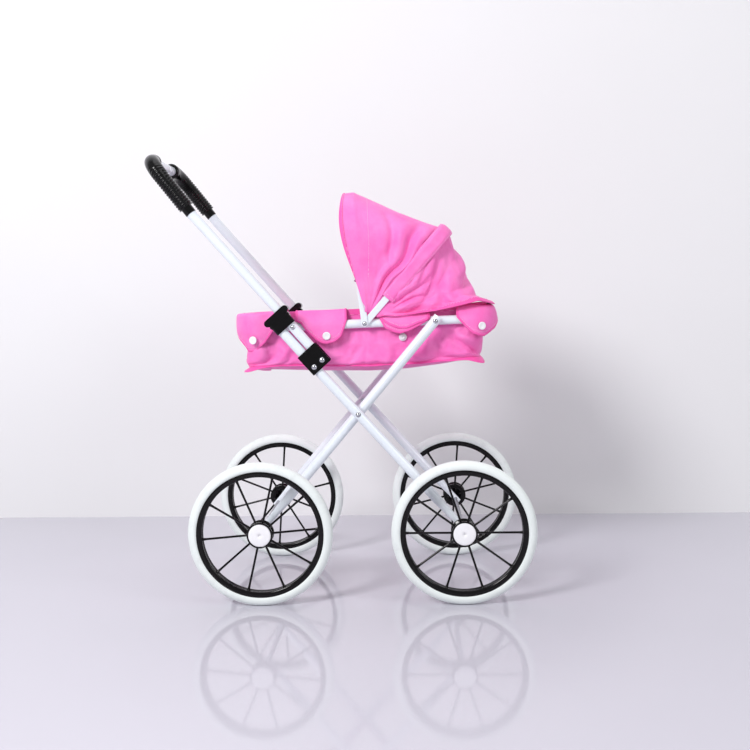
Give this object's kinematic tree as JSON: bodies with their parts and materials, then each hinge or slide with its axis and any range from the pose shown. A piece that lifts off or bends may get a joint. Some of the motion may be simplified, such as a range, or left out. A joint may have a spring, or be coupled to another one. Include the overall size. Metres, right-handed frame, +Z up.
{
  "type": "doll stroller",
  "caption": "Folding doll pram with a cloth bassinet and tilting hood on crossed tube legs, spoked wheels with pale tyres, and a swing-over handle with black grips.",
  "frame": {"origin": "on the floor under the middle of the pram's whole length and width", "axes": "+X the way the pram faces, towards the hood; +Y the pram's left; +Z up"},
  "size_m": [0.5932, 0.3176, 0.6878],
  "materials": {
    "white_paint": "gloss",
    "black_plastic": "gloss",
    "wheel_plastic": "gloss",
    "grip_vinyl": "gloss vinyl",
    "white_plastic": "satin",
    "tyre_foam": "matt foam",
    "bright_steel": "polished",
    "axle_steel": "drawn",
    "cloth": "woven polyester with a soft sheen",
    "cloth_trim": "folded binding tape"
  },
  "bodies": {
    "bassinet_frame": {"rail": "white_paint", "bassinet": "cloth", "rim_flaps": "cloth_trim", "snap_buttons": "white_plastic", "rail_rivets": "bright_steel", "rail_spacers": "black_plastic", "hood_rivets": "bright_steel", "hood_rear_panel": "cloth"},
    "hood_middle": {"hood_mid_bow": "white_paint", "hood_mid_panel": "cloth"},
    "hood_front": {"hood_front_bow": "white_paint", "hood_front_panel": "cloth"},
    "rear_frame": {"rear_leg_right": "white_paint", "rear_leg_left": "white_paint", "rear_axle_rod": "axle_steel", "rear_axle_bushes": "black_plastic", "rear_axle_nuts": "bright_steel"},
    "front_frame": {"front_leg_right": "white_paint", "front_leg_left": "white_paint", "front_axle_rod": "axle_steel", "front_axle_bushes": "black_plastic", "front_axle_nuts": "bright_steel", "cross_rivets": "bright_steel", "cross_washers": "black_plastic", "bracket_right": "black_plastic", "bracket_left": "black_plastic", "bracket_screws": "bright_steel", "pivot_screws": "bright_steel"},
    "handle": {"handle_tube": "white_paint", "grip_right": "grip_vinyl", "grip_left": "grip_vinyl", "link_rivets": "bright_steel", "link_spacers": "black_plastic"},
    "lock_right": {"lock_sleeve_right": "black_plastic"},
    "lock_left": {"lock_sleeve_left": "black_plastic"},
    "front_right_roller": {"front_right_tyre": "tyre_foam", "front_right_wheel": "wheel_plastic", "front_right_cap": "white_plastic"},
    "front_left_roller": {"front_left_tyre": "tyre_foam", "front_left_wheel": "wheel_plastic", "front_left_cap": "white_plastic"},
    "rear_right_roller": {"rear_right_tyre": "tyre_foam", "rear_right_wheel": "wheel_plastic", "rear_right_cap": "white_plastic"},
    "rear_left_roller": {"rear_left_tyre": "tyre_foam", "rear_left_wheel": "wheel_plastic", "rear_left_cap": "white_plastic"}
  },
  "joints": [
    {"name": "leg_cross_fold", "type": "hinge", "parent": "rear_frame", "child": "front_frame", "pos_m": [0.02815, 0, 0.2867], "axis": [0, -1, 0], "range_deg": [0, 75]},
    {"name": "rail_fold", "type": "hinge", "parent": "bassinet_frame", "child": "rear_frame", "pos_m": [0.14716, 0, 0.42735], "axis": [0, 1, 0], "range_deg": [0, 30.3]},
    {"name": "handle_fold", "type": "hinge", "parent": "front_frame", "child": "handle", "pos_m": [-0.02576, 0, 0.37106], "axis": [0, 1, 0], "range_deg": [0, 143.2]},
    {"name": "hood_fold", "type": "hinge", "parent": "bassinet_frame", "child": "hood_middle", "pos_m": [0.03866, 0, 0.42405], "axis": [0, 1, 0], "range_deg": [0, 27]},
    {"name": "hood_front_fold", "type": "hinge", "parent": "hood_middle", "child": "hood_front", "pos_m": [0.03866, 0, 0.42405], "axis": [0, 1, 0], "range_deg": [0, 28]},
    {"name": "lock_right_slide", "type": "slide", "parent": "handle", "child": "lock_right", "axis": [-0.6579, 0, 0.7531], "range_m": [0, 0.06]},
    {"name": "lock_left_slide", "type": "slide", "parent": "handle", "child": "lock_left", "axis": [-0.6579, 0, 0.7531], "range_m": [0, 0.06]},
    {"name": "front_right_wheel_spin", "type": "hinge", "parent": "front_frame", "child": "front_right_roller", "pos_m": [0.18665, -0.1463, 0.11], "axis": [0, 1, 0], "continuous": true},
    {"name": "front_left_wheel_spin", "type": "hinge", "parent": "front_frame", "child": "front_left_roller", "pos_m": [0.18665, 0.1463, 0.11], "axis": [0, 1, 0], "continuous": true},
    {"name": "rear_right_wheel_spin", "type": "hinge", "parent": "rear_frame", "child": "rear_right_roller", "pos_m": [-0.12134, -0.1463, 0.11], "axis": [0, 1, 0], "continuous": true},
    {"name": "rear_left_wheel_spin", "type": "hinge", "parent": "rear_frame", "child": "rear_left_roller", "pos_m": [-0.12134, 0.1463, 0.11], "axis": [0, 1, 0], "continuous": true}
  ],
  "couplings": [
    {"joint": "rail_fold", "follows": "leg_cross_fold", "ratio": 0.39063},
    {"joint": "handle_fold", "follows": "leg_cross_fold", "ratio": 1.8961},
    {"joint": "hood_front_fold", "follows": "hood_fold", "ratio": 1}
  ]
}
